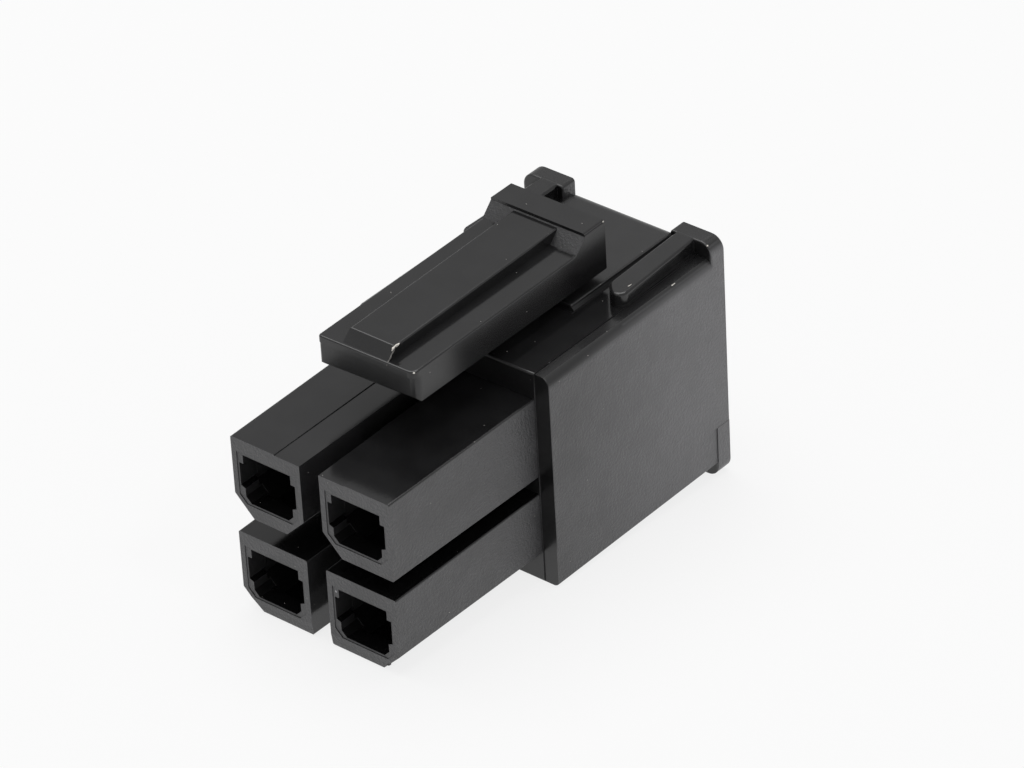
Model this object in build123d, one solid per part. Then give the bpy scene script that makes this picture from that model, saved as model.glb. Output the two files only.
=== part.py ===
from build123d import *
import os

# Four-way plug housing for a two-row board or cable connector, moulded in one
# piece. X runs across the plug, Y from the mating face back to the wire side,
# and Z up. While the body is made, the middle of the four silos' front faces is
# the zero point. The finished housing is moved so that its box stands on Z = 0.

# Contact pattern
pitch = 3.0                 # between columns
row_pitch = 3.0             # between rows

# Silos, the four square towers that enter the mating header
silo_width = 2.35
silo_height = 2.40
silo_length = 5.75          # mating face to shoulder
silo_draft = 0.008          # growth of each side for each millimetre of depth
key_chamfer = 0.61          # polarising chamfer on some lower corners
silo_edge_radius = 0.05
lead_in_height = 0.36       # shallow bevel along the foot of the lower silos
lead_in_depth = 0.05

# Mouth of each silo, by the walls left round it
mouth_side_wall = 0.225     # beside the wide middle band
mouth_roof_wall = 0.48
mouth_floor_wall = 0.45
mouth_step = 0.14           # the mouth is this much narrower above and below the band
mouth_band_height = 0.71
mouth_band_lift = 0.085     # middle of the band above the silo's middle
mouth_band_slope = 0.06     # slanted lower end of the band
mouth_corner = 0.17         # lower corners of the mouth
mouth_depth = 0.55          # thickness of the front stop
witness_margin = 0.06       # faint insert outline round the mouth
witness_corner = 0.24
witness_depth = 0.02

# Contact cavity behind the mouth
cavity_side_wall = 0.235
cavity_roof_wall = 0.25
cavity_floor_wall = 0.28
cavity_corner = 0.52        # keeps a wall behind the key chamfer
wire_room = 2.30            # square rear room for the crimp and the insulation
wire_room_radius = 0.30
wire_room_length = 5.60
wire_lead_in = 0.22         # bevel round the rear mouth
funnel_length = 0.70        # taper from the rear room down to the cavity
lock_ledge_drop = 0.17      # ledge that a contact's lance snaps behind
lock_ledge_half_width = 0.45
lock_ledge_front = 4.90
lock_ledge_flat = 0.35
lock_ledge_ramp = 0.90

# Body block behind the silos, by the walls left round the wire rooms
body_length = 7.40          # shoulder to rear face
side_wall = 0.565
deck_wall = 0.895
belly_wall = 0.43
body_top_radius = 0.32
body_bottom_radius = 0.17
body_front_radius = 0.06
body_face_bevel = 0.03      # along the deck's front edge
rear_deck_radius = 0.42     # rounding of the deck's rear edge between the ears
strip_inset = 0.475         # lower strip along each top edge, from the side
strip_drop = 0.03           # the shoulder under it is as much further back
side_line_depth = 1.86      # mould line on the sides, below the middle
side_line_step = 0.02
slide_half_width = 1.18     # core that forms the room under the latch
slide_step = 0.03           # it leaves a shallow track on the upper silos

# Rear ears and feet, the lips that stand proud of the body at the wire side
lip_thickness = 0.515
lip_height = 0.44           # ears above the deck
foot_height = 0.41          # feet below the belly
lip_clearance = 0.235       # between the latch's side and the ears' inner ends
lip_inner_radius = 0.10
lip_outer_radius = 0.38
lip_edge_radius = 0.05
foot_side_proud = 0.01

# Ribs that guard the latch's thumb bar
rib_length = 3.22           # in front of the lip
rib_clearance = 0.57        # between the latch's side and the rib's rear end
rib_width = 0.52            # at the nose
rib_taper = 0.06            # the rib is this much narrower at the lip
rib_toe = 0.07              # the nose stands this much further out
rib_front_drop = 0.03       # the top falls this much towards the nose
rib_edge_radius = 0.08

# Stop pad on the deck under the thumb bar
pad_front = 8.62            # from the mating face
pad_height = 0.15
pad_margin = 0.11           # the pad is this much wider than the latch on each side
pad_edge_radius = 0.05

# Latch, a see-saw plate on a short web
latch_half_width = 1.59
latch_front = 2.55          # from the mating face, at the right-hand corner
latch_skew = 0.13           # the left-hand corner stands this much further forward
latch_rear = 10.25
latch_gap = 0.405           # between the deck and the plate's underside
plate_thickness = 0.96      # at the front
plate_rise = 0.09           # the plate's top rises this much to the rear
lip_band = 0.20             # mould lip round the plate's top front edge
lip_proud = 0.09
lip_skew = 0.06             # the lip follows the skewed front less closely
nose_bevel = 0.15           # under the plate's front edge
latch_corner_radius = 0.22  # right-hand front corner
latch_sharp_radius = 0.10   # left-hand front corner
latch_edge_radius = 0.05
ramp_half_width = 0.76
ramp_shift = -0.06          # the ramp stands this far left of the middle
ramp_height = 0.30          # above the plate at the ramp's front
ramp_rise = 0.11            # the ramp's further rise to the rear
ramp_slope = 0.37           # length of the ramp's sloped nose
bar_length = 0.82           # thumb bar, front to back
bar_height = 0.53           # above the plate
bar_step = 0.09             # upright part of the bar's front
bar_slope = 0.40
bar_edge_radius = 0.10      # right-hand end
bar_sharp_radius = 0.04     # left-hand end
web_front = 6.30
web_length = 1.70
web_inset = 0.49            # from the plate's side
catch_front = 3.25          # pocket behind the latch's hook
catch_length = 2.20
catch_side_wall = 0.64
catch_depth = 0.42

# Places worked out from the sizes above
shoulder = silo_length
rear_face = silo_length + body_length
half_body = (pitch + wire_room) / 2 + side_wall
deck_height = (row_pitch + wire_room) / 2 + deck_wall
belly_depth = (row_pitch + wire_room) / 2 + belly_wall
mouth_half_width = silo_width / 2 - mouth_side_wall
mouth_half_narrow = mouth_half_width - mouth_step
mouth_top = silo_height / 2 - mouth_roof_wall
mouth_bottom = silo_height / 2 - mouth_floor_wall
cavity_half_width = silo_width / 2 - cavity_side_wall
cavity_top = silo_height / 2 - cavity_roof_wall
cavity_bottom = silo_height / 2 - cavity_floor_wall
lip_inner = latch_half_width + lip_clearance
pad_half_width = latch_half_width + pad_margin
latch_bottom = deck_height + latch_gap
plate_top = latch_bottom + plate_thickness
pad_top = deck_height + pad_height
ear_top = deck_height + lip_height
foot_bottom = -(belly_depth + foot_height)
lip_front = rear_face - lip_thickness

# Which lower corners carry the key chamfer: (column, row) to (left, right)
KEYS = {
    (-1, 1): (True, True),
    (1, 1): (True, False),
    (-1, -1): (True, False),
    (1, -1): (False, True),
}


def across(y, points):
    """Flat face standing across the plug at depth y, from (x, z) points."""
    return make_face(Polyline(*[(x, y, z) for x, z in points], close=True))


def along(half_width, points):
    """Solid with a side outline of (y, z) points, centred on the middle plane."""
    outline = make_face(Polyline(*[(-half_width, y, z) for y, z in points], close=True))
    return extrude(outline, amount=2 * half_width, dir=(1, 0, 0))


def block(x0, x1, y0, y1, z0, z1):
    """Square-edged block between two corners."""
    size = Box(x1 - x0, y1 - y0, z1 - z0)
    return Pos((x0 + x1) / 2, (y0 + y1) / 2, (z0 + z1) / 2) * size


def on_both_sides(piece):
    """A right-hand piece with its mirror image."""
    return [piece, mirror(piece, Plane.YZ)]


def edges_along(part, axis):
    """Edges of a part that run along one axis, to within a few degrees."""
    def runs_along(edge):
        chord = (edge @ 1) - (edge @ 0)
        return chord.length > 0.01 and abs(chord.normalized().dot(axis.direction)) > 0.999

    return part.edges().filter_by(runs_along)


def silo_outline(grow, keys):
    """Silo section about its own centre, grown by the draft at one depth."""
    x = silo_width / 2 + grow
    z = silo_height / 2 + grow
    left, right = keys
    points = [(-x, z), (x, z)]
    points += [(x, -z + key_chamfer), (x - key_chamfer, -z)] if right else [(x, -z)]
    points += [(-x + key_chamfer, -z), (-x, -z + key_chamfer)] if left else [(-x, -z)]
    return points


def shift(points, centre):
    cx, cz = centre
    return [(cx + x, cz + z) for x, z in points]


def silo(centre, keys):
    """Outer form of one silo, from its front face into the body."""
    sections = []
    for depth in (0, shoulder + body_front_radius):
        points = shift(silo_outline(silo_draft * depth, keys), centre)
        sections.append(across(depth, points))
    tower = loft(sections, ruled=True)
    tower = fillet(edges_along(tower, Axis.Y), silo_edge_radius)
    if centre[1] < 0:
        tower -= lead_in(centre)
    return tower


def lead_in(centre):
    """Wedge that bevels the foot of a lower silo's front face."""
    foot = centre[1] - silo_height / 2
    wedge = along(silo_width, [(-1, foot - 1), (lead_in_depth, foot - 1), (lead_in_depth, foot),
                               (0, foot + lead_in_height), (-1, foot + lead_in_height)])
    return Pos(centre[0], 0, 0) * wedge


def mirrored(right):
    """Closed outline from its right half, listed downwards."""
    return right + [(-x, z) for x, z in reversed(right)]


def mouth_outline():
    """Stepped opening that a pin enters, about the silo's centre."""
    wide, narrow = mouth_half_width, mouth_half_narrow
    band_top = mouth_band_lift + mouth_band_height / 2
    band_bottom = mouth_band_lift - mouth_band_height / 2
    return mirrored([(narrow, mouth_top), (narrow, band_top), (wide, band_top),
                     (wide, band_bottom), (narrow, band_bottom - mouth_band_slope),
                     (narrow, -mouth_bottom + mouth_corner),
                     (narrow - mouth_corner, -mouth_bottom)])


def witness_outline():
    """Outline of the mould insert round the mouth."""
    x = mouth_half_width + witness_margin
    top, bottom = mouth_top + witness_margin, mouth_bottom + witness_margin
    return mirrored([(x, top), (x, -bottom + witness_corner), (x - witness_corner, -bottom)])


def cavity_outline():
    """Section of the contact cavity, with its lower corners cut off."""
    x, top, bottom = cavity_half_width, cavity_top, cavity_bottom
    return [(-x, top), (x, top), (x, -bottom + cavity_corner), (x - cavity_corner, -bottom),
            (-x + cavity_corner, -bottom), (-x, -bottom + cavity_corner)]


def prism(outline, centre, y0, y1):
    """Straight run of one section between two depths."""
    return extrude(across(y0, shift(outline, centre)), amount=y1 - y0, dir=(0, 1, 0))


def wire_section(y, size, centre):
    """Rounded square of the rear room at one depth."""
    plane = Plane((centre[0], y, centre[1]), x_dir=(1, 0, 0), z_dir=(0, -1, 0))
    return plane * RectangleRounded(size, size, wire_room_radius)


def cavity(centre):
    """Everything that is hollow behind one silo's front face."""
    room_front = rear_face - wire_room_length
    hollow = prism(mouth_outline(), centre, -0.1, mouth_depth + 0.1)
    hollow += prism(cavity_outline(), centre, mouth_depth, room_front + 0.1)
    hollow += funnel(centre, room_front)
    room = [wire_section(y, wire_room, centre) for y in (room_front, rear_face + 0.1)]
    hollow += loft(room, ruled=True)
    flare = [wire_section(rear_face - wire_lead_in, wire_room, centre),
             wire_section(rear_face + 0.02, wire_room + 2 * wire_lead_in, centre)]
    hollow += loft(flare, ruled=True)
    return hollow - lock_ledge(centre)


def funnel(centre, room_front):
    """Taper that guides a contact from the rear room into its cavity."""
    small = 2 * min(cavity_half_width, cavity_bottom) - 0.02
    ends = [wire_section(room_front - funnel_length, small, centre),
            wire_section(room_front, wire_room, centre)]
    return loft(ends, ruled=True)


def lock_ledge(centre):
    """Ledge under the cavity's roof: square in front, ramped behind."""
    roof = centre[1] + cavity_top
    crest = roof - lock_ledge_drop
    back = lock_ledge_front + lock_ledge_flat
    side = [(lock_ledge_front, crest), (back, crest), (back + lock_ledge_ramp, roof + 0.02),
            (lock_ledge_front, roof + 0.02)]
    return Pos(centre[0], 0, 0) * along(lock_ledge_half_width, side)


def body():
    """Block behind the silos, with its lowered side strips and mould lines."""
    shell = block(-half_body, half_body, shoulder, rear_face, -belly_depth, deck_height)
    long_edges = edges_along(shell, Axis.Y)
    shell = fillet(long_edges.group_by(Axis.Z)[-1], body_top_radius)
    shell = fillet(edges_along(shell, Axis.Y).group_by(Axis.Z)[0], body_bottom_radius)
    front = shell.faces().sort_by(Axis.Y)[0]
    shell = fillet(front.edges().filter_by(Axis.Z), body_front_radius)
    bevel = body_face_bevel
    shell -= along(half_body, [(shoulder - 1, deck_height + 1), (shoulder - 1, deck_height - bevel),
                              (shoulder, deck_height - bevel), (shoulder + bevel, deck_height),
                              (shoulder + bevel, deck_height + 1)])
    strip_inner = half_body - strip_inset
    strip = block(strip_inner, half_body + 1, shoulder - 1, lip_front,
                  deck_height - strip_drop, deck_height + 1)
    strip += block(strip_inner, half_body + 1, shoulder - 1, shoulder + strip_drop,
                   -belly_depth - 1, deck_height + 1)
    skirt = block(half_body - side_line_step, half_body + 1, shoulder - 1, lip_front,
                  -belly_depth - 1, -side_line_depth)
    for cut in on_both_sides(strip) + on_both_sides(skirt):
        shell -= cut
    return shell


def stop_pad():
    """Raised pad between the ears, which stops the thumb bar."""
    pad = block(-pad_half_width, pad_half_width, pad_front, rear_face, deck_height - 0.5, pad_top)
    edges = edges_along(pad, Axis.Y).group_by(Axis.Z)[-1]
    pad = fillet(edges, pad_edge_radius)
    return fillet(pad.faces().sort_by(Axis.Y)[0].edges().sort_by(Axis.Z)[-1], pad_edge_radius)


def deck_end_cutter():
    """Takes the square rear edge off the deck between the ears."""
    low, high = pad_top - rear_deck_radius, pad_top + 1
    front = rear_face - rear_deck_radius
    reach = lip_inner + 0.1
    outer = block(-reach, reach, front, rear_face + 1, low, high)
    round_bar = Pos(0, front, low) * Rot(0, 90, 0) * Cylinder(rear_deck_radius, 2 * reach + 1)
    return outer - round_bar


def ear():
    """Right-hand upper lip, with a large outer and a small inner top corner."""
    low = deck_height - rear_deck_radius - body_top_radius
    lip = block(lip_inner, half_body, lip_front, rear_face, low, ear_top)
    lip = fillet(edges_along(lip, Axis.Y).group_by(Axis.Z)[-1].sort_by(Axis.X)[-1], lip_outer_radius)
    lip = fillet(edges_along(lip, Axis.Y).group_by(Axis.Z)[-1].sort_by(Axis.X)[0], lip_inner_radius)
    front_top = lip.faces().sort_by(Axis.Y)[0].edges().sort_by(Axis.Z)[-1]
    return fillet(front_top, lip_edge_radius)


def foot():
    """Right-hand lower lip, a little proud of the side below the mould line."""
    lip = block(lip_inner, half_body + foot_side_proud, lip_front, rear_face,
                foot_bottom, -side_line_depth)
    lip = fillet(edges_along(lip, Axis.Y).group_by(Axis.Z)[0].sort_by(Axis.X)[-1], lip_outer_radius)
    upper = edges_along(lip, Axis.Y).group_by(Axis.Z)[-1].sort_by(Axis.X)[-1]
    return chamfer(upper, foot_side_proud)


def rib():
    """Guard rib on the right of the thumb bar, with a rounded nose."""
    nose = lip_front - rib_length
    rear_inner = latch_half_width + rib_clearance
    rear_outer = rear_inner + rib_width - rib_taper
    inner, outer = rear_inner + rib_toe, rear_inner + rib_toe + rib_width
    middle, radius = (inner + outer) / 2, rib_width / 2
    low = deck_height - 0.3
    start = nose + radius
    end = lip_front + lip_thickness / 2
    right = Line((outer, start), (rear_outer, end))
    back = Line((rear_outer, end), (rear_inner, end))
    left = Line((rear_inner, end), (inner, start))
    tip = ThreePointArc((inner, start), (middle, nose), (outer, start))
    plan = make_face(Curve() + [right, back, left, tip])
    bar = extrude(Pos(0, 0, low) * plan, amount=ear_top - low)
    top = [(nose - 1, ear_top + 1), (nose - 1, ear_top - rib_front_drop),
           (nose, ear_top - rib_front_drop), (end, ear_top), (end, ear_top + 1)]
    bar -= along(half_body, top)
    crown = bar.faces().sort_by(Axis.Z)[-1]
    rim = crown.edges().filter_by(lambda edge: edge.center().Y < end - 0.01)
    return fillet(rim, rib_edge_radius)


def plate_layer(front, skew, low, high, bevel=0):
    """Layer of the latch plate between two heights, with its two front corners."""
    x = latch_half_width
    plan = make_face(Polyline((-x, front - skew, low), (x, front, low), (x, latch_rear, low),
                              (-x, latch_rear, low), close=True))
    layer = extrude(plan, amount=high - low, dir=(0, 0, 1))
    if bevel:
        layer = chamfer(layer.faces().sort_by(Axis.Y)[0].edges().sort_by(Axis.Z)[0], bevel)
    layer = fillet(edges_along(layer, Axis.Z).sort_by(Axis.Y)[:2].sort_by(Axis.X)[-1], latch_corner_radius)
    return fillet(edges_along(layer, Axis.Z).sort_by(Axis.Y)[0], latch_sharp_radius)


def latch_plate():
    """Plate of the latch: a lipped front edge, rounded corners, a bevel below."""
    base = plate_layer(latch_front, latch_skew, latch_bottom, plate_top - lip_band, nose_bevel)
    cap_front = latch_front - lip_proud
    band = plate_layer(cap_front, lip_skew, plate_top - lip_band, plate_top + plate_rise)
    band -= along(latch_half_width + 1, [(cap_front - 1, plate_top), (latch_rear + 1, plate_top + plate_rise),
                                         (latch_rear + 1, plate_top + 1), (cap_front - 1, plate_top + 1)])
    top = band.faces().sort_by(Axis.Z)[-1]
    band = fillet(top.edges().filter_by(lambda edge: edge.center().Y < latch_rear - 0.01),
                  latch_edge_radius)
    return base + band


def latch_ramp():
    """Raised middle of the latch, with its sloped nose."""
    front_top = plate_top + ramp_height
    rear_top = front_top + ramp_rise
    rear = latch_rear - bar_length
    front = latch_front - lip_proud + 0.01
    side = [(front, plate_top - lip_band / 2), (front, plate_top - 0.03),
            (front + ramp_slope, front_top), (rear, rear_top), (rear, plate_top - lip_band / 2)]
    ramp = Pos(ramp_shift, 0, 0) * along(ramp_half_width, side)
    crown = ramp.faces().sort_by(Axis.Z)[-1]
    return fillet(crown.edges().filter_by(lambda edge: edge.center().Y < rear - 0.01),
                  latch_edge_radius)


def thumb_bar():
    """Bar that a thumb presses to free the latch."""
    top = plate_top + bar_height
    front = latch_rear - bar_length
    slope_foot = front - bar_slope
    low = plate_top + bar_height - bar_step - bar_slope
    side = [(slope_foot, low), (front, top - bar_step), (front, top), (latch_rear, top),
            (latch_rear, latch_bottom), (slope_foot, latch_bottom)]
    bar = along(latch_half_width, side)
    crown = bar.faces().sort_by(Axis.Z)[-1]
    ends = crown.edges().filter_by(Axis.Y).sort_by(Axis.X)
    bar = fillet(ends[0], bar_sharp_radius)
    bar = fillet(edges_along(bar, Axis.Y).group_by(Axis.Z)[-1].sort_by(Axis.X)[-1], bar_edge_radius)
    rear_edges = bar.faces().sort_by(Axis.Y)[-1].edges().sort_by(Axis.Z)[0]
    return fillet(rear_edges, bar_edge_radius)


def web():
    """Short web under the plate, the pivot of the see-saw."""
    half_width = latch_half_width - web_inset
    return block(-half_width, half_width, web_front, web_front + web_length,
                 deck_height - 0.2, latch_bottom + 0.2)


def catch_pocket():
    """Pocket behind the hook, in the plate's underside."""
    side = [(catch_front, latch_bottom - 0.1), (catch_front, latch_bottom + catch_depth),
            (catch_front + catch_length - catch_depth, latch_bottom + catch_depth),
            (catch_front + catch_length, latch_bottom - 0.1)]
    return along(latch_half_width - catch_side_wall, side)


def latch():
    """Whole see-saw latch, still apart from the deck."""
    whole = latch_plate() + latch_ramp() + thumb_bar() + web()
    return whole - catch_pocket()


def housing():
    """The moulded housing as one solid."""
    centres = {(column, row): (column * pitch / 2, row * row_pitch / 2) for column, row in KEYS}
    solid = body() + stop_pad()
    solid -= deck_end_cutter()
    for piece in on_both_sides(ear()) + on_both_sides(foot()) + on_both_sides(rib()):
        solid += piece
    for place, keys in KEYS.items():
        solid += silo(centres[place], keys)
    upper_top = row_pitch / 2 + silo_height / 2
    solid -= along(slide_half_width, [(-1, upper_top - slide_step), (shoulder, upper_top - slide_step
                                      + silo_draft * shoulder), (shoulder, upper_top + 0.2),
                                      (-1, upper_top + 0.2)])
    for centre in centres.values():
        solid -= prism(witness_outline(), centre, -0.1, witness_depth)
        solid -= cavity(centre)
    return solid + latch()


def stand_on_base(solid):
    """Moves the housing so that its box is centred on X and Y and stands on Z = 0."""
    box = solid.bounding_box()
    return Pos(-box.center().X, -box.center().Y, -box.min.Z) * solid


os.makedirs("parts", exist_ok=True)
plug = stand_on_base(housing())
export_step(plug, "parts/housing.step")
size = plug.bounding_box().size
print("housing", round(size.X, 3), round(size.Y, 3), round(size.Z, 3), "solids", len(plug.solids()))
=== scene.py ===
# %% [markdown]
# # A small black plug housing on a white table
#
# The object is the plastic body of a four-way power plug, about as long as a
# fingernail. It is moulded in one shot of black nylon. The measured CAD model is
# loaded first and is never changed: Blender adds the finish of the plastic, the
# torn bits and dust that the real one carries, and a photographer's table.

# %% Load the measured model
import bmesh
import bpy
import math
import random
from mathutils import Matrix, Vector
from types import SimpleNamespace


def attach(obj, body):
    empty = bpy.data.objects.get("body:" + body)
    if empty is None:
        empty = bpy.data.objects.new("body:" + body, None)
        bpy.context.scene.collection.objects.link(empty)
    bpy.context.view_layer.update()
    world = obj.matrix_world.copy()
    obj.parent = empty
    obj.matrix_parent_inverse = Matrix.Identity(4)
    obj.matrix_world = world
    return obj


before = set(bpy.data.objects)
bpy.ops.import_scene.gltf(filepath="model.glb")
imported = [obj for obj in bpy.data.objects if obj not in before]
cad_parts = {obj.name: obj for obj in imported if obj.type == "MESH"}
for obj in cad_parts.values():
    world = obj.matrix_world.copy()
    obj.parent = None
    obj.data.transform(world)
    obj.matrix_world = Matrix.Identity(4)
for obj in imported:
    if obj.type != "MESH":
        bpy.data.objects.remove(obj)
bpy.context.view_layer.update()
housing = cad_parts["housing"]
print("housing", len(housing.data.polygons), "faces")

# %% [markdown]
# Blender works in metres, and this object in hundredths of a millimetre. One
# named factor keeps the sizes below readable. The main sizes repeat those of the
# moulding, so that finishes, marks and burrs land on the right edges.

# %% Sizes of the moulding, in millimetres
MM = 0.001
NOSE = -6.575              # Y of the silos' front faces
MIDDLE = 3.49              # Z of the middle of the four silos
HALF_PITCH = 1.5           # from a middle plane to the silos' axes
SHOULDER = NOSE + 5.75     # the body starts here, behind the silos
REAR = NOSE + 13.15
LIP = REAR - 0.515         # front of the rear lips: ears above, feet below
DECK = MIDDLE + 3.545      # Z of the body's top face
LATCH_FLOOR = DECK + 0.405
EAR_TOP = DECK + 0.44


def place(x, y, z):
    """Point given from the middle plane, the nose and the middle of the silos."""
    return Vector((x, NOSE + y, MIDDLE + z)) * MM


# %% [markdown]
# ## The camera
#
# The photograph was taken from far away with a long lens, so parallel edges stay
# almost parallel. The camera's place came from matching the moulding's edges to
# the picture. It is written as a direction, a distance and a small roll, because
# these can be understood and changed one at a time.

# %% Camera
AZIMUTH, ELEVATION, ROLL = 41.212, 34.25, -3.301   # degrees
DISTANCE = 151.658                                 # millimetres from the aim
LENS, SENSOR = 202.917, 36.0
AIM = Vector((0.5732, 0.8015, 4.9563))


def camera_axes(azimuth, elevation, roll):
    """Right, up and backward axes of a camera that looks at the object."""
    a, e, r = (math.radians(v) for v in (azimuth, elevation, roll))
    back = Vector((math.sin(a) * math.cos(e), -math.cos(a) * math.cos(e), math.sin(e)))
    right = (-back).cross(Vector((0, 0, 1))).normalized()
    up = right.cross(-back)
    turned = right * math.cos(r) + up * math.sin(r)
    return turned, up * math.cos(r) - right * math.sin(r), back


def add_camera():
    data = bpy.data.cameras.new("table_camera")
    data.lens, data.sensor_width = LENS, SENSOR
    data.clip_start, data.clip_end = 0.01, 10.0
    camera = bpy.data.objects.new("table_camera", data)
    bpy.context.scene.collection.objects.link(camera)
    right, up, back = camera_axes(AZIMUTH, ELEVATION, ROLL)
    turn = Matrix((right, up, back)).transposed().to_4x4()
    camera.matrix_world = Matrix.Translation((AIM + back * DISTANCE) * MM) @ turn
    bpy.context.scene.camera = camera
    return camera


camera = add_camera()
print("camera at", [round(v / MM, 2) for v in camera.location], "mm")

# %% [markdown]
# ## Shader groups
#
# The mould left two finishes. Its sliding cores were polished, so the top faces
# and the latch are half glossy. Its walls were spark-eroded, so the sides have a
# fine dull grain. One group finds which finish a point has, from the way the
# surface faces and from where it lies, and also where painted light and painted
# shade go. A second makes the grain. A third makes the rubbed specks that handling
# leaves. Each is built once, with named sockets.
#
# A mask is a number from 0 to 1, so masks combine like sets: their product is
# both, the larger is either, and a difference is one without the other.

# %% Small helpers for node trees
def new_group(name, inputs, outputs):
    """Shader node group with float inputs (name, value) and named float outputs."""
    group = bpy.data.node_groups.new(name, "ShaderNodeTree")
    kind = "NodeSocketFloat"
    for label, value in inputs:
        socket = group.interface.new_socket(label, in_out="INPUT", socket_type=kind)
        socket.default_value = value
    for label in outputs:
        group.interface.new_socket(label, in_out="OUTPUT", socket_type=kind)
    start = group.nodes.new("NodeGroupInput")
    end = group.nodes.new("NodeGroupOutput")
    return group, start, end


def math_node(tree, operation, first, second=None, clamp=False):
    """Math node fed by sockets or plain numbers; gives back its result socket."""
    node = tree.nodes.new("ShaderNodeMath")
    node.operation, node.use_clamp = operation, clamp
    for slot, value in enumerate((first, second)):
        if value is None:
            continue
        if isinstance(value, (int, float)):
            node.inputs[slot].default_value = value
        else:
            tree.links.new(value, node.inputs[slot])
    return node.outputs[0]


def both(tree, first, second):
    return math_node(tree, "MULTIPLY", first, second)


def either(tree, first, second):
    return math_node(tree, "MAXIMUM", first, second)


def without(tree, first, second):
    return math_node(tree, "SUBTRACT", first, second, clamp=True)


def blend(tree, factor, low, high):
    """Number between low and high, by a factor socket."""
    span = math_node(tree, "MULTIPLY_ADD", factor, high - low)
    span.node.inputs[2].default_value = low
    return span


def ramp_between(tree, value, low, high, invert=False):
    """0 below low and 1 above high, with a smooth step between."""
    node = tree.nodes.new("ShaderNodeMapRange")
    node.interpolation_type = "SMOOTHSTEP"
    node.inputs["From Min"].default_value = low
    node.inputs["From Max"].default_value = high
    node.inputs["To Min"].default_value = 1.0 if invert else 0.0
    node.inputs["To Max"].default_value = 0.0 if invert else 1.0
    tree.links.new(value, node.inputs["Value"])
    return node.outputs["Result"]


def past(tree, value, limit, soft, invert=False):
    """1 past a limit, over a soft edge that ends there, both in millimetres."""
    return ramp_between(tree, value, (limit - soft) * MM, limit * MM, invert)


def short_of(tree, value, limit, soft):
    """1 short of a limit, over a soft edge that ends there, both in millimetres."""
    return past(tree, value, limit, soft, invert=True)


def distance(tree, value, start):
    """How far a length is from a start in millimetres, on either side."""
    return math_node(tree, "ABSOLUTE", math_node(tree, "SUBTRACT", value, start * MM))


# %% [markdown]
# The zones follow the moulding. Everything that faces up is polished, the edge
# strips and the raised forms on the deck a little less. The latch is polished on
# its tops and half so on its sides, and the slopes of its thumb bar are grained
# for grip. The sides are grained up to a smooth rim just below the deck. The
# openings and the gaps between silos get painted shade, a darker tone, since little
# of the light that enters them comes out again. The outer sides get painted light,
# paler towards the rear: a painted reflection of the table, brighter further off.

# %% Limits and strengths of the zones
# Where one finish ends and the next begins, in millimetres
STRIP_EDGE = 2.75          # the deck's edge strips lie outside this
LATCH_SIDE = 1.70          # the latch lies inside this
BAR_FRONT = NOSE + 9.0     # the thumb bar's slopes lie behind this
OUTER_WALL = 3.20          # the body's own sides lie outside this
# painted light: the outer sides grow paler towards the rear up to this depth
PALEST_PAINTED_LIGHT = REAR - 1.0        # the sides get paler up to here
SILO_TOP = MIDDLE + 2.80
OPENING = 1.12             # reach of an opening from its silo's axis
GAP_WALL = 0.45            # walls inside this face another silo
RIB_MIDDLE, RIB_REACH = 2.40, 0.47
# The bar's slopes lean by 45 degrees, so their normals have this height
SLOPE = 0.707
# How strongly a place takes a finish, from 0 to 1
STRIP_DULL, RAISED_DULL = 0.3, 0.4
SHOULDER_POLISH, RIB_POLISH = 0.45, 0.8
LATCH_POLISH = (0.5, 0.95)    # on its sides and on its tops
GRIP_GRAIN = 0.5

# %% Group: polished, grained, painted rear light and painted recess shade
def surface_sockets(group):
    """Where a point lies and how its surface faces."""
    coords = group.nodes.new("ShaderNodeTexCoord")
    normal = group.nodes.new("ShaderNodeSeparateXYZ")
    group.links.new(coords.outputs["Normal"], normal.inputs[0])
    point = group.nodes.new("ShaderNodeSeparateXYZ")
    group.links.new(coords.outputs["Object"], point.inputs[0])
    at = SimpleNamespace(y=point.outputs["Y"], z=point.outputs["Z"])
    at.across = math_node(group, "ABSOLUTE", point.outputs["X"])
    at.from_middle = distance(group, at.z, MIDDLE)
    at.sideward = math_node(group, "ABSOLUTE", normal.outputs["X"])
    at.height = normal.outputs["Z"]
    at.upward = ramp_between(group, at.height, 0.85, 0.97)
    at.forward = ramp_between(group, normal.outputs["Y"], -0.97, -0.85, invert=True)
    at.behind = past(group, at.y, SHOULDER, 0.02)
    return at


def deck_masks(group, at):
    """The edge strips, all that is raised, the guard ribs, and the sides' upper rim."""
    strip = both(group, past(group, at.across, STRIP_EDGE, 0.02), at.behind)
    raised = past(group, at.z, DECK + 0.10, 0.05)
    before_ear = short_of(group, at.y, LIP, 0.02)
    rib = short_of(group, distance(group, at.across, RIB_MIDDLE), RIB_REACH, 0.02)
    rib = both(group, rib, both(group, raised, before_ear))
    rim = past(group, at.z, DECK - 0.10, 0.35)
    rim = both(group, rim, both(group, at.behind, before_ear))
    return strip, raised, rib, rim


def latch_masks(group, at):
    """The latch, and the slopes of its thumb bar."""
    inside = short_of(group, at.across, LATCH_SIDE, 0.04)
    on_latch = both(group, past(group, at.z, LATCH_FLOOR, 0.10), inside)
    lean = math_node(group, "ABSOLUTE", math_node(group, "SUBTRACT", at.height, SLOPE))
    slope = ramp_between(group, lean, 0.03, 0.08, invert=True)
    return on_latch, both(group, slope, past(group, at.y, BAR_FRONT, 0.10))


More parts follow.
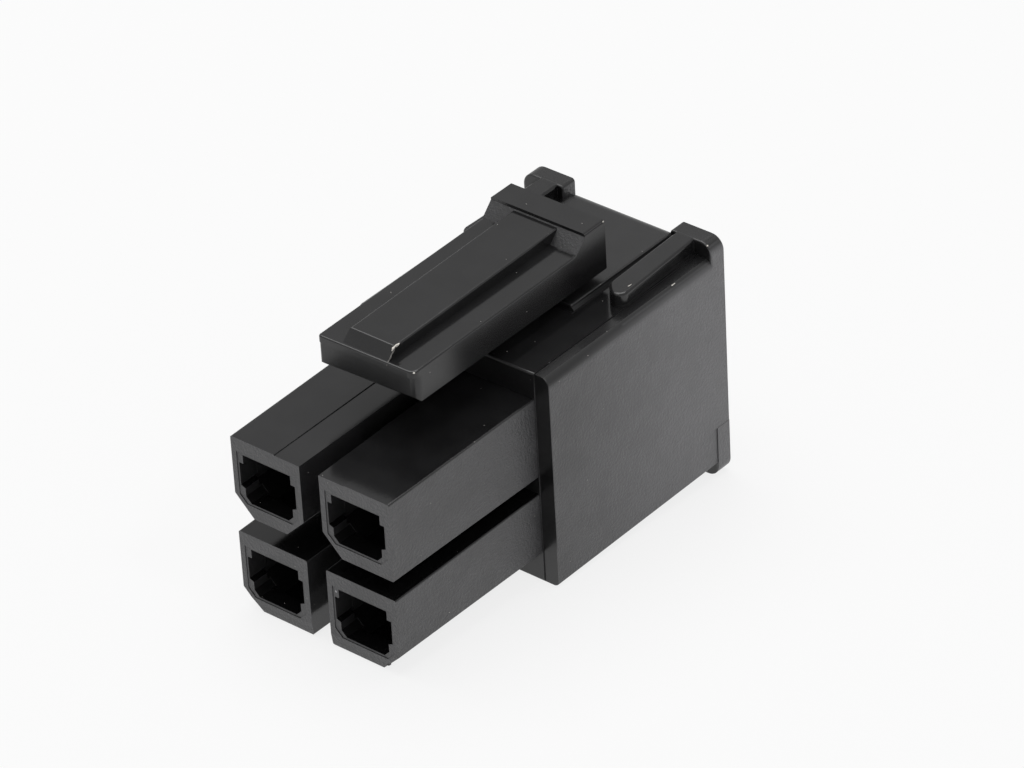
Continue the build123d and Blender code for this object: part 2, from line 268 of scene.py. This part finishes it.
def recess_shade_masks(group, at):
    """The openings and the walls between silos, where shade is painted; and those walls alone.
    """
    reach = either(group, distance(group, at.across, HALF_PITCH),
                   distance(group, at.from_middle, HALF_PITCH))
    room = short_of(group, reach, OPENING, 0.10)
    room = both(group, room, past(group, at.y, NOSE + 0.05, 0.04))
    steep = ramp_between(group, at.sideward, 0.6, 0.8)
    flat = ramp_between(group, math_node(group, "ABSOLUTE", at.height), 0.6, 0.8)
    walls = either(group, both(group, short_of(group, at.across, GAP_WALL, 0.05), steep),
                   both(group, short_of(group, at.from_middle, GAP_WALL, 0.05), flat))
    outside = either(group, past(group, at.z, SILO_TOP, 0.05),
                     either(group, at.forward, at.behind))
    walls = without(group, walls, outside)
    return either(group, room, walls), walls


def zones_group():
    outputs = ["Polished", "Grained", "Rear", "Recess shade"]
    group, _, end = new_group("mould_and_light_zones", [], outputs)
    at = surface_sockets(group)
    strip, raised, rib, rim = deck_masks(group, at)
    on_latch, grip = latch_masks(group, at)
    # painted shade: a mask of the openings and of the walls between silos
    recess_shade, walls = recess_shade_masks(group, at)
    shoulder = both(group, at.forward, at.behind)

    dull = either(group, both(group, strip, STRIP_DULL), both(group, raised, RAISED_DULL))
    polished = without(group, at.upward, dull)
    for mask, share in ((shoulder, SHOULDER_POLISH), (rib, RIB_POLISH), (walls, 1.0)):
        polished = either(group, polished, both(group, mask, share))
    latch = both(group, without(group, on_latch, grip), blend(group, at.upward, *LATCH_POLISH))
    polished = either(group, without(group, polished, on_latch), latch)

    grained = ramp_between(group, at.height, 0.1, 0.6, invert=True)
    for mask in (either(group, on_latch, shoulder), rim):
        grained = without(group, grained, mask)
    grained = either(group, grained, both(group, grip, GRIP_GRAIN))

    # painted reflection: the outer sides lighter towards the rear
    rear_light = both(group, ramp_between(group, at.y, SHOULDER * MM, PALEST_PAINTED_LIGHT * MM),
                past(group, at.across, OUTER_WALL, 0.10))
    for label, socket in zip(outputs, (polished, grained, rear_light, recess_shade)):
        group.links.new(socket, end.inputs[label])
    return group


zones = zones_group()
print("zones", len(zones.nodes), "nodes")

# %% [markdown]
# Spark erosion leaves overlapping craters a few hundredths of a millimetre
# across. A fine noise gives their uneven heights, and a slower noise makes them
# deeper in some places than in others, which reads as soft mottling.

# %% Group: eroded grain
def noise(group, coords, size_socket, detail, rough):
    """Noise whose features have about the given size in millimetres."""
    scale = math_node(group, "DIVIDE", 1.0 / MM, size_socket)
    node = group.nodes.new("ShaderNodeTexNoise")
    node.inputs["Detail"].default_value = detail
    node.inputs["Roughness"].default_value = rough
    group.links.new(coords.outputs["Object"], node.inputs["Vector"])
    group.links.new(scale, node.inputs["Scale"])
    return node.outputs["Fac"]


def grain_group():
    inputs = [("Crater mm", 0.07), ("Mottle mm", 0.9)]
    group, start, end = new_group("eroded_grain", inputs, ["Height", "Mottle"])
    coords = group.nodes.new("ShaderNodeTexCoord")
    crater = noise(group, coords, start.outputs["Crater mm"], 3.0, 0.6)
    mottle = noise(group, coords, start.outputs["Mottle mm"], 2.0, 0.5)
    mottle = ramp_between(group, mottle, 0.3, 0.7)
    depth = blend(group, mottle, 0.6, 1.1)
    group.links.new(math_node(group, "MULTIPLY", crater, depth), end.inputs["Height"])
    group.links.new(mottle, end.inputs["Mottle"])
    return group


grain = grain_group()
print("grain", len(grain.nodes), "nodes")

# %% [markdown]
# Specks are rare, bright and tiny: scuffs where the black skin was touched.
# A Voronoi pattern gives one point per cell, and a threshold keeps a few.

# %% Group: scuffed specks
def specks_group():
    inputs = [("Cell mm", 0.55), ("Speck size", 0.06), ("Share", 0.2)]
    group, start, end = new_group("scuffed_specks", inputs, ["Mask"])
    coords = group.nodes.new("ShaderNodeTexCoord")
    cells = group.nodes.new("ShaderNodeTexVoronoi")
    scale = math_node(group, "DIVIDE", 1.0 / MM, start.outputs["Cell mm"])
    group.links.new(coords.outputs["Object"], cells.inputs["Vector"])
    group.links.new(scale, cells.inputs["Scale"])
    size = start.outputs["Speck size"]
    near = math_node(group, "LESS_THAN", cells.outputs["Distance"], size)
    tone = group.nodes.new("ShaderNodeSeparateColor")
    group.links.new(cells.outputs["Color"], tone.inputs[0])
    chosen = math_node(group, "LESS_THAN", tone.outputs["Red"], start.outputs["Share"])
    group.links.new(both(group, near, chosen), end.inputs["Mask"])
    return group


specks = specks_group()
print("specks", len(specks.nodes), "nodes")

# %% [markdown]
# ## The black nylon
#
# Almost all the grey in the picture is reflection: the plastic itself is close
# to black, a little lighter where the grain scatters light back. So the colour
# only moves between near-blacks, and the roughness does the rest. Painted shade
# darkens it in the openings, and painted light makes the sides paler towards the rear.

# %% Material: black nylon
NYLON_IOR = 1.53
POLISHED_TONE, GRAINED_TONE = 0.009, 0.049
# painted reflection of the table: the sides get this much paler towards the rear
REAR_PAINTED_LIGHT = 0.060              # the sides get paler towards the rear by this
SPECK_TONE = 0.25
MOTTLING = (0.85, 1.15)        # the mottle changes the tone by this factor
# painted shade: the openings and the gaps between silos keep this share of their tone
RECESS_PAINTED_SHADE = 0.4
TINT = (("Red", 1.0), ("Green", 0.99), ("Blue", 1.03))
POLISHED_ROUGH, GRAINED_ROUGH = 0.12, 0.40
CRATER, CRATER_DEPTH = 0.08, 0.05
BUMP = (0.02, 0.7)             # its strength on polished and on grained skin


def new_material(name):
    material = bpy.data.materials.new(name)
    material.use_nodes = True
    tree = material.node_tree
    return material, tree, tree.nodes["Principled BSDF"]


def add_group(tree, group, **values):
    """Group node whose inputs take the given values."""
    node = tree.nodes.new("ShaderNodeGroup")
    node.node_tree = group
    for label, value in values.items():
        node.inputs[label.replace("_", " ")].default_value = value
    return node


def add_bump(tree, shader, height, depth):
    """Bump of a depth in millimetres; gives back its strength input."""
    bump = tree.nodes.new("ShaderNodeBump")
    bump.inputs["Distance"].default_value = depth * MM
    tree.links.new(height, bump.inputs["Height"])
    tree.links.new(bump.outputs[0], shader.inputs["Normal"])
    return bump.inputs["Strength"]


def nylon_tone(tree, zone, skin, dull):
    """Lightness of the plastic, with painted shade in the recesses and painted light towards
    the rear of the sides.
    """
    tone = blend(tree, zone.outputs["Grained"], POLISHED_TONE, GRAINED_TONE)
    mottled = blend(tree, skin.outputs["Mottle"], *MOTTLING)
    tone = math_node(tree, "MULTIPLY", tone, mottled)
    speck = both(tree, add_group(tree, specks).outputs["Mask"], dull)
    for mask, extra in ((speck, SPECK_TONE), (zone.outputs["Rear"], REAR_PAINTED_LIGHT)):
        tone = math_node(tree, "ADD", tone, math_node(tree, "MULTIPLY", mask, extra))
    # painted shade in the openings and between the silos
    recess_shade = blend(tree, zone.outputs["Recess shade"], 1.0, RECESS_PAINTED_SHADE)
    return math_node(tree, "MULTIPLY", tone, recess_shade)


def nylon(name):
    material, tree, shader = new_material(name)
    shader.inputs["IOR"].default_value = NYLON_IOR
    zone = add_group(tree, zones)
    skin = add_group(tree, grain, Crater_mm=CRATER)
    dull = math_node(tree, "SUBTRACT", 1.0, zone.outputs["Polished"])
    tone = nylon_tone(tree, zone, skin, dull)
    colour = tree.nodes.new("ShaderNodeCombineColor")
    for channel, tint in TINT:
        tree.links.new(math_node(tree, "MULTIPLY", tone, tint), colour.inputs[channel])
    tree.links.new(colour.outputs[0], shader.inputs["Base Color"])
    rough = blend(tree, dull, POLISHED_ROUGH, GRAINED_ROUGH)
    tree.links.new(rough, shader.inputs["Roughness"])
    rugged = without(tree, zone.outputs["Grained"], zone.outputs["Recess shade"])
    strength = add_bump(tree, shader, skin.outputs["Height"], CRATER_DEPTH)
    tree.links.new(blend(tree, rugged, *BUMP), strength)
    return material


black_nylon = nylon("black_nylon")
housing.material_slots[0].material = black_nylon
print("black nylon on", housing.name)

# %% [markdown]
# ## Forms that the camera sees and the CAD model lacks
#
# Beside the thumb bar stand two guard ribs. Seen close, they are wider on their
# inner side than the CAD ribs, and the pad between them meets the deck in a small
# slope. Both are plain prisms: the rib's is upright and gets a rounded rim, and
# the slope's is a triangle drawn out along the pad's edge. Both reach a little
# into the CAD body, so no gap shows under them.

# %% Guard ribs and pad slopes
LIP_Y = LIP - NOSE                    # the ears' front, from the nose
DECK_Z = DECK - MIDDLE
RIB_REAR = (2.01, 2.63)               # the rib's sides where it enters the ear
RIB_BEND = ((2.415, 9.853), 0.335)    # its inner side bends in: centre and radius
RIB_NOSE = ((2.490, 9.675), 0.266)
RIB_RISE, RIB_FALL = 0.006, 0.010     # over the ear; then down for each millimetre
RIB_ROUNDING = 0.07
INTO_DECK, INTO_EAR = 0.05, 0.10
PAD_FRONT, PAD_REAR = 8.63, LIP_Y + 0.3
SLOPE_CORNERS = [(1.65, 0.155), (1.77, -0.01), (1.65, -0.01)]


def add_mesh(name, verts, faces, material):
    """Closed mesh through points that place() reads, with its normals out."""
    mesh = bpy.data.meshes.new(name)
    mesh.from_pydata([place(*point) for point in verts], [], faces)
    work = bmesh.new()
    work.from_mesh(mesh)
    bmesh.ops.recalc_face_normals(work, faces=work.faces)
    work.to_mesh(mesh)
    work.free()
    mesh.materials.append(material)
    piece = bpy.data.objects.new(name, mesh)
    bpy.context.scene.collection.objects.link(piece)
    return piece


def prism(outline, bottom, top):
    """Points and faces of an upright prism; top gives the height at a depth y."""
    count = len(outline)
    verts = [(x, y, bottom) for x, y in outline] + [(x, y, top(y)) for x, y in outline]
    sides = [(i, (i + 1) % count, count + (i + 1) % count, count + i) for i in range(count)]
    return verts, [tuple(reversed(range(count))), tuple(range(count, 2 * count))] + sides


def arc(centre, radius, start, end, steps=20):
    """Points along an arc between two directions in degrees."""
    turns = [math.radians(start + (end - start) * i / steps) for i in range(steps + 1)]
    return [(centre[0] + radius * math.cos(t), centre[1] + radius * math.sin(t))
            for t in turns]


def rib_outline(side):
    """Plan of a rib: wide and straight at the back, with a smaller rounded nose."""
    inner, outer = ((x, LIP_Y + INTO_EAR) for x in RIB_REAR)
    corners = [inner] + arc(*RIB_BEND, 180, 224) + arc(*RIB_NOSE, 226, 360) + [outer]
    return [(side * x, y) for x, y in corners]


def rib_top(y):
    """The rib's top falls a little from the ear to its nose."""
    return EAR_TOP - MIDDLE + RIB_RISE - RIB_FALL * (LIP_Y - y)


def round_top(piece, radius):
    """Round the upper rim of a prism."""
    work = bmesh.new()
    work.from_mesh(piece.data)
    cap = max(work.faces, key=lambda face: face.calc_center_median().z)
    bmesh.ops.bevel(work, geom=list(cap.edges), offset=radius * MM, segments=6,
                    affect="EDGES", profile=0.5)
    work.to_mesh(piece.data)
    work.free()


def pad_slope(side):
    """Points and faces of the slope along one edge of the pad."""
    verts = [(side * x, y, DECK_Z + z) for y in (PAD_FRONT, PAD_REAR)
             for x, z in SLOPE_CORNERS]
    return verts, [(0, 1, 2), (5, 4, 3), (0, 3, 4, 1), (1, 4, 5, 2), (2, 5, 3, 0)]


added = []
for side, word in ((1, "right"), (-1, "left")):
    rib_mesh = prism(rib_outline(side), DECK_Z - INTO_DECK, rib_top)
    rib = add_mesh("guard_rib_" + word, *rib_mesh, black_nylon)
    round_top(rib, RIB_ROUNDING)
    added += [rib, add_mesh("pad_slope_" + word, *pad_slope(side), black_nylon)]
print("added", [piece.name for piece in added])

# %% [markdown]
# ## Torn bits
#
# Where the latch was caught, the front corner of its raised ramp is torn. Nylon
# turns white where it is stretched and torn, so the sliver is nearly white, and a
# rough edge runs down the slope from it. A crumb of black flash hangs from the
# tip of a lower silo, where the mould halves met. Each is a thin rod through a
# few points, thicker and thinner along its length, with uneven sides.

# %% Slivers
TORN_CRATER, TORN_MOTTLE, TORN_DEPTH = 0.03, 0.08, 0.01
TORN_BUMP = 0.8
FOLD_SHADE = 0.45          # folds have this share of the torn plastic's colour


def torn_plastic(name, colour, roughness):
    """Torn nylon: pale where stretched, darker in its folds."""
    material, tree, shader = new_material(name)
    skin = add_group(tree, grain, Crater_mm=TORN_CRATER, Mottle_mm=TORN_MOTTLE)
    tone = tree.nodes.new("ShaderNodeMix")
    tone.data_type = "RGBA"
    tone.inputs["A"].default_value = tuple(c * FOLD_SHADE for c in colour) + (1,)
    tone.inputs["B"].default_value = tuple(colour) + (1,)
    tree.links.new(skin.outputs["Mottle"], tone.inputs["Factor"])
    tree.links.new(tone.outputs["Result"], shader.inputs["Base Color"])
    shader.inputs["Roughness"].default_value = roughness
    add_bump(tree, shader, skin.outputs["Height"], TORN_DEPTH).default_value = TORN_BUMP
    return material


def sliver(name, path, material, seed, sides=7):
    """Uneven closed rod through points (x, y, z, radius) in millimetres."""
    dice = random.Random(seed)
    verts, faces = [], []
    for x, y, z, radius in path:
        for i in range(sides):
            turn = 2 * math.pi * i / sides
            reach = radius * dice.uniform(0.6, 1.4)
            verts.append((x + reach * math.cos(turn), y, z + reach * math.sin(turn)))
    for ring in range(len(path) - 1):
        first = ring * sides
        faces += [(first + i, first + (i + 1) % sides, first + sides + (i + 1) % sides,
                   first + sides + i) for i in range(sides)]
    faces.append(tuple(range(sides)))
    faces.append(tuple(reversed(range(len(verts) - sides, len(verts)))))
    return add_mesh(name, verts, faces, material)


# pale torn nylon; the same material paints the glint slivers further on
white_tear_and_glint = torn_plastic("white_torn_nylon_and_glint", (0.80, 0.76, 0.70), 0.45)
grey_tear = torn_plastic("grey_torn_nylon", (0.16, 0.15, 0.14), 0.35)
corner_tear = [(0.70, 2.68, 5.16, 0.010), (0.69, 2.74, 5.20, 0.030),
               (0.69, 2.80, 5.21, 0.014), (0.71, 2.86, 5.22, 0.034),
               (0.71, 2.93, 5.23, 0.022), (0.70, 2.99, 5.23, 0.006)]
edge_tear = [(0.705, 2.44, 4.85, 0.018), (0.71, 2.49, 4.91, 0.026),
             (0.70, 2.54, 4.94, 0.012), (0.71, 2.60, 5.01, 0.024),
             (0.70, 2.65, 5.05, 0.012), (0.71, 2.72, 5.12, 0.022),
             (0.70, 2.80, 5.19, 0.012)]
flash = [(2.22, 0.01, -2.52, 0.020), (2.22, 0.04, -2.53, 0.045),
         (2.23, 0.09, -2.54, 0.040), (2.23, 0.15, -2.52, 0.015)]
slivers = [sliver("corner_tear", corner_tear, white_tear_and_glint, seed=4),
           sliver("edge_tear", edge_tear, grey_tear, seed=9),
           sliver("silo_flash", flash, black_nylon, seed=2)]
added += slivers
print("slivers", [piece.name for piece in slivers])

# %% [markdown]
# The thumb bar, the plate's front corner, the end of a guard rib, an ear and the
# strip beside it each carry one tiny pale sliver, half sunk into the plastic. The
# one on the strip is a scuff. Those on the rib's end and on the ear are painted
# glints: pale bits that stand in for highlights on rounded edges.

# %% Pale slivers: scuffs and painted glints
def scuff_and_glint(name, centre, half_length, radius, seed):
    """Short sliver along Y, thickest in its middle."""
    x, y, z = centre
    steps = ((0.0, -1.0, 0.4), (0.3, -0.3, 1.0), (-0.2, 0.4, 0.7), (0.0, 1.0, 0.3))
    path = [(x + radius * out, y + half_length * along, z, radius * thick)
            for out, along, thick in steps]
    return sliver(name, path, white_tear_and_glint, seed)


scuffs_and_glints = [scuff_and_glint("bar_scuff", (1.580, 10.200, 5.425), 0.030, 0.018, seed=11),
          scuff_and_glint("plate_scuff", (1.545, 2.530, 4.895), 0.035, 0.026, seed=12),
          # painted glints: the rib's end and the ear carry pale slivers where highlights show
          scuff_and_glint("rib_painted_glint", (2.612, 9.935, 3.966), 0.065, 0.020, seed=13),
          scuff_and_glint("ear_painted_glint", (3.070, 12.650, 3.934), 0.030, 0.026, seed=14),
          scuff_and_glint("strip_scuff", (3.108, 11.125, 3.545), 0.085, 0.012, seed=15)]
added += scuffs_and_glints
print("scuffs_and_glints", [piece.name for piece in scuffs_and_glints])

# %% [markdown]
# ## Dust
#
# A part this small gathers specks that the eye misses and a macro lens doesn't.
# A Geometry Nodes tree scatters them over a merged copy of the moulding: each is
# a flattened ball, turned and scaled by chance from a fixed seed. The result is
# kept as one plain mesh, so nothing of the tree has to survive an export.

# %% Geometry Nodes: scattered specks
BALL_RADIUS = 0.5                            # of a ball of size 1, in millimetres
FLATTEST, LONGEST = (0.6, 0.6, 0.3), (2.2, 1.2, 0.7)
DUST_PER_SQUARE_MM, DUST_SIZE, DUST_SEED = 0.30, 0.020, 5


def specks_tree(material):
    """Tree that scatters balls over the faces of what comes in and paints them."""
    tree = bpy.data.node_groups.new("dust_specks", "GeometryNodeTree")
    real, whole, shape = "NodeSocketFloat", "NodeSocketInt", "NodeSocketGeometry"
    tree.interface.new_socket("Geometry", in_out="INPUT", socket_type=shape)
    for label, kind, value in (("Per square mm", real, 0.5), ("Size mm", real, 0.02),
                               ("Seed", whole, 7)):
        socket = tree.interface.new_socket(label, in_out="INPUT", socket_type=kind)
        socket.default_value = value
    tree.interface.new_socket("Geometry", in_out="OUTPUT", socket_type=shape)

    def add(kind, **sources):
        node = tree.nodes.new(kind)
        for label, source in sources.items():
            tree.links.new(source, node.inputs[label])
        return node

    start, end = add("NodeGroupInput"), add("NodeGroupOutput")
    seed = start.outputs["Seed"]
    density = math_node(tree, "DIVIDE", start.outputs["Per square mm"], MM * MM)
    scatter = add("GeometryNodeDistributePointsOnFaces", Mesh=start.outputs["Geometry"],
                  Density=density, Seed=seed)
    ball = add("GeometryNodeMeshIcoSphere")
    ball.inputs["Radius"].default_value = BALL_RADIUS * MM
    ball.inputs["Subdivisions"].default_value = 1
    chance = add("FunctionNodeRandomValue", Seed=seed)
    chance.data_type = "FLOAT_VECTOR"
    chance.inputs["Min"].default_value = FLATTEST
    chance.inputs["Max"].default_value = LONGEST
    size = add("ShaderNodeVectorMath")
    size.operation = "SCALE"
    tree.links.new(chance.outputs[0], size.inputs[0])
    tree.links.new(start.outputs["Size mm"], size.inputs["Scale"])
    put = add("GeometryNodeInstanceOnPoints", Points=scatter.outputs["Points"],
              Instance=ball.outputs["Mesh"], Rotation=scatter.outputs["Rotation"],
              Scale=size.outputs[0])
    joined = add("GeometryNodeRealizeInstances", Geometry=put.outputs[0])
    paint = add("GeometryNodeSetMaterial", Geometry=joined.outputs[0])
    paint.inputs["Material"].default_value = material
    tree.links.new(paint.outputs[0], end.inputs["Geometry"])
    return tree


def merged_copy(source):
    """Copy of a CAD mesh with its corners joined."""
    mesh = source.data.copy()
    work = bmesh.new()
    work.from_mesh(mesh)
    bmesh.ops.remove_doubles(work, verts=work.verts, dist=1e-7)
    work.to_mesh(mesh)
    work.free()
    return mesh


def scatter_dust(name, per_square_mm, size, seed, material):
    """Dust over the housing, as one plain mesh."""
    host = bpy.data.objects.new(name + "_host", merged_copy(housing))
    bpy.context.scene.collection.objects.link(host)
    tree = specks_tree(material)
    modifier = host.modifiers.new("specks", "NODES")
    modifier.node_group = tree
    inputs = (("Per square mm", per_square_mm), ("Size mm", size), ("Seed", seed))
    for label, value in inputs:
        modifier[tree.interface.items_tree[label].identifier] = value
    graph = bpy.context.evaluated_depsgraph_get()
    mesh = bpy.data.meshes.new_from_object(host.evaluated_get(graph))
    mesh.name = name
    bpy.data.objects.remove(host)
    dust = bpy.data.objects.new(name, mesh)
    bpy.context.scene.collection.objects.link(dust)
    return dust


dust_grey = torn_plastic("dust", (0.55, 0.53, 0.50), 0.8)
dust = scatter_dust("dust_specks", DUST_PER_SQUARE_MM, DUST_SIZE, DUST_SEED, dust_grey)
added.append(dust)
print("dust", len(dust.data.polygons), "faces")

# %% [markdown]
# Each added piece rides on the plug's only body, the dust too.

# %% Tie the pieces to the plug
for piece in added:
    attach(piece, "root")
print(len(added), "pieces ride on the plug")

# %% [markdown]
# ## Table and light
#
# The plug lies on the front edge of its belly and on its rear feet, so against
# the table it leans forward by about three degrees, and its lower silos almost
# touch. The model stays level in its own frame, and the table is laid under its
# two lines of contact instead.

# %% Table
BELLY_EDGE = (SHOULDER, MIDDLE - 3.08)          # depth and height of a contact line
FOOT_EDGE = (LIP, MIDDLE - 3.49)
TABLE_GAP = 0.002                               # keeps the two from touching
TABLE_HALF = 600.0


def table_height(y):
    """Height of the table under a point at depth y, in millimetres."""
    slope = (FOOT_EDGE[1] - BELLY_EDGE[1]) / (FOOT_EDGE[0] - BELLY_EDGE[0])
    return BELLY_EDGE[1] + slope * (y - BELLY_EDGE[0])


def add_table():
    corners = [(-1, -1), (1, -1), (1, 1), (-1, 1)]
    corners = [(TABLE_HALF * x, TABLE_HALF * y) for x, y in corners]
    verts = [Vector((x, y, table_height(y) - TABLE_GAP)) * MM for x, y in corners]
    mesh = bpy.data.meshes.new("table")
    mesh.from_pydata(verts, [], [(0, 1, 2, 3)])
    table = bpy.data.objects.new("table", mesh)
    bpy.context.scene.collection.objects.link(table)
    return table


table = add_table()
print("table drops", round(table_height(NOSE) - table_height(REAR), 2), "mm along the plug")

# %% [markdown]
# The table is white paper. The camera sees it almost burnt out, and so do the
# reflections in the plastic, but it still takes a soft shadow from the lamps.

# %% Material: white table
CAMERA_SHARE, GLOW = 0.85, 0.955     # how much of the glow is seen, and its strength


def white_table():
    material, tree, paper = new_material("white_table")
    paper.inputs["Base Color"].default_value = (0.8, 0.8, 0.8, 1)
    paper.inputs["Roughness"].default_value = 0.9
    paper.inputs["Specular IOR Level"].default_value = 0.0
    light = tree.nodes.new("ShaderNodeEmission")
    light.inputs["Color"].default_value = (1.0, 1.0, 1.0, 1)
    light.inputs["Strength"].default_value = GLOW
    ray = tree.nodes.new("ShaderNodeLightPath").outputs
    seen = either(tree, either(tree, ray["Is Camera Ray"], ray["Is Glossy Ray"]),
                  ray["Is Transmission Ray"])
    mix = tree.nodes.new("ShaderNodeMixShader")
    tree.links.new(math_node(tree, "MULTIPLY", seen, CAMERA_SHARE), mix.inputs[0])
    tree.links.new(paper.outputs[0], mix.inputs[1])
    tree.links.new(light.outputs[0], mix.inputs[2])
    tree.links.new(mix.outputs[0], tree.nodes["Material Output"].inputs["Surface"])
    return material


table.data.materials.append(white_table())
print("white paper on the table")

# %% [markdown]
# A wide softbox hangs overhead, and a small bright lamp at the upper right draws
# the glints on the rounded edges. The room itself is a plain mid grey, which the
# polished tops mirror and which lifts the long side.

# %% Lamps
ROOM_GREY = (0.55, 0.55, 0.55, 1)


def add_softbox(name, direction, reach, size, power):
    """Square area lamp that faces the plug, sized in millimetres and watts."""
    data = bpy.data.lights.new(name, "AREA")
    data.shape, data.size = "SQUARE", size * MM
    data.energy = power
    lamp = bpy.data.objects.new(name, data)
    bpy.context.scene.collection.objects.link(lamp)
    aim = Vector(direction).normalized()
    lamp.location = aim * reach * MM
    lamp.rotation_euler = aim.to_track_quat("Z", "Y").to_euler()
    return lamp


lamps = [add_softbox("overhead_softbox", (-0.25, 0.1, 1.0), 400, 400, 1.4),
         add_softbox("glint_lamp", (0.62, 0.04, 0.785), 500, 60, 0.25)]
world = bpy.data.worlds.new("grey_room")
bpy.context.scene.world = world
world.use_nodes = True
background = world.node_tree.nodes["Background"]
background.inputs["Color"].default_value = ROOM_GREY
background.inputs["Strength"].default_value = 1.0
print("lamps", [lamp.name for lamp in lamps])

# %% [markdown]
# ## Finish
#
# The standard view keeps colours as written.

# %% Finish
bpy.context.scene.view_settings.view_transform = "Standard"
